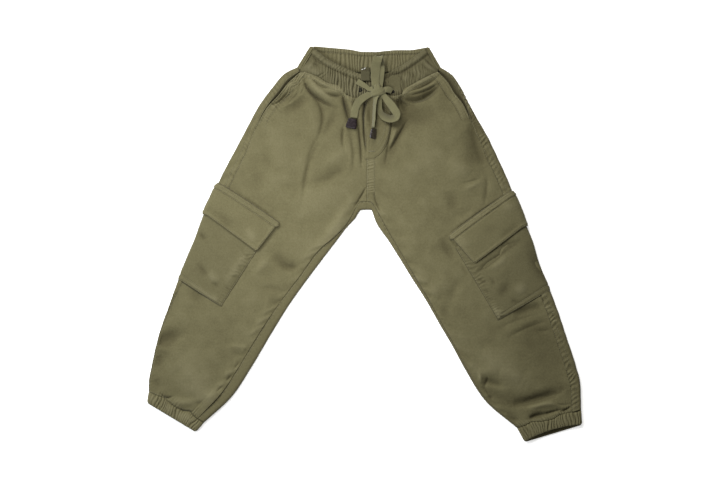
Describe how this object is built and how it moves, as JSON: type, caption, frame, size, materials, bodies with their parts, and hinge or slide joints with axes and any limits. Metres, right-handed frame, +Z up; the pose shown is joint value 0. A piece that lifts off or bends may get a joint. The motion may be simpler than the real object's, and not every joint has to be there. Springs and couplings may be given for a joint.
{
  "type": "child's cargo joggers, laid flat",
  "caption": "Child's cargo joggers laid flat: gathered elastic waist and cuffs, slant pockets, mock fly, flapped cargo pockets and a flat drawcord tied in a bow.",
  "frame": {"origin": "middle of the garment's outline, on the surface it lies on", "axes": "+X towards the wearer's left, +Y towards the waist, +Z up out of the front"},
  "size_m": [0.7415, 0.6756, 0.0327],
  "materials": {
    "twill": "matt washed cotton twill",
    "tape": "matt woven tape",
    "tip": "satin dark moulded end",
    "tab": "plain woven tab"
  },
  "bodies": {
    "root": {"waistband_front": "twill", "waistband_back": "twill", "front_right": "twill", "front_left": "twill", "back_right": "twill", "back_left": "twill", "hip_facing_right": "twill", "hip_facing_left": "twill", "fly_placket": "twill", "cargo_pocket_right": "twill", "cargo_pocket_left": "twill", "cargo_flap_right": "twill", "cargo_flap_left": "twill", "cuff_right": "twill", "cuff_left": "twill", "drawcord_lead_right": "tape", "drawcord_lead_left": "tape", "drawcord_loop_up": "tape", "drawcord_loop_side": "tape", "drawcord_tail_right": "tape", "drawcord_tail_left": "tape", "drawcord_knot": "tape", "cord_tip_right": "tip", "cord_tip_left": "tip", "waist_tab": "tab"}
  },
  "joints": []
}
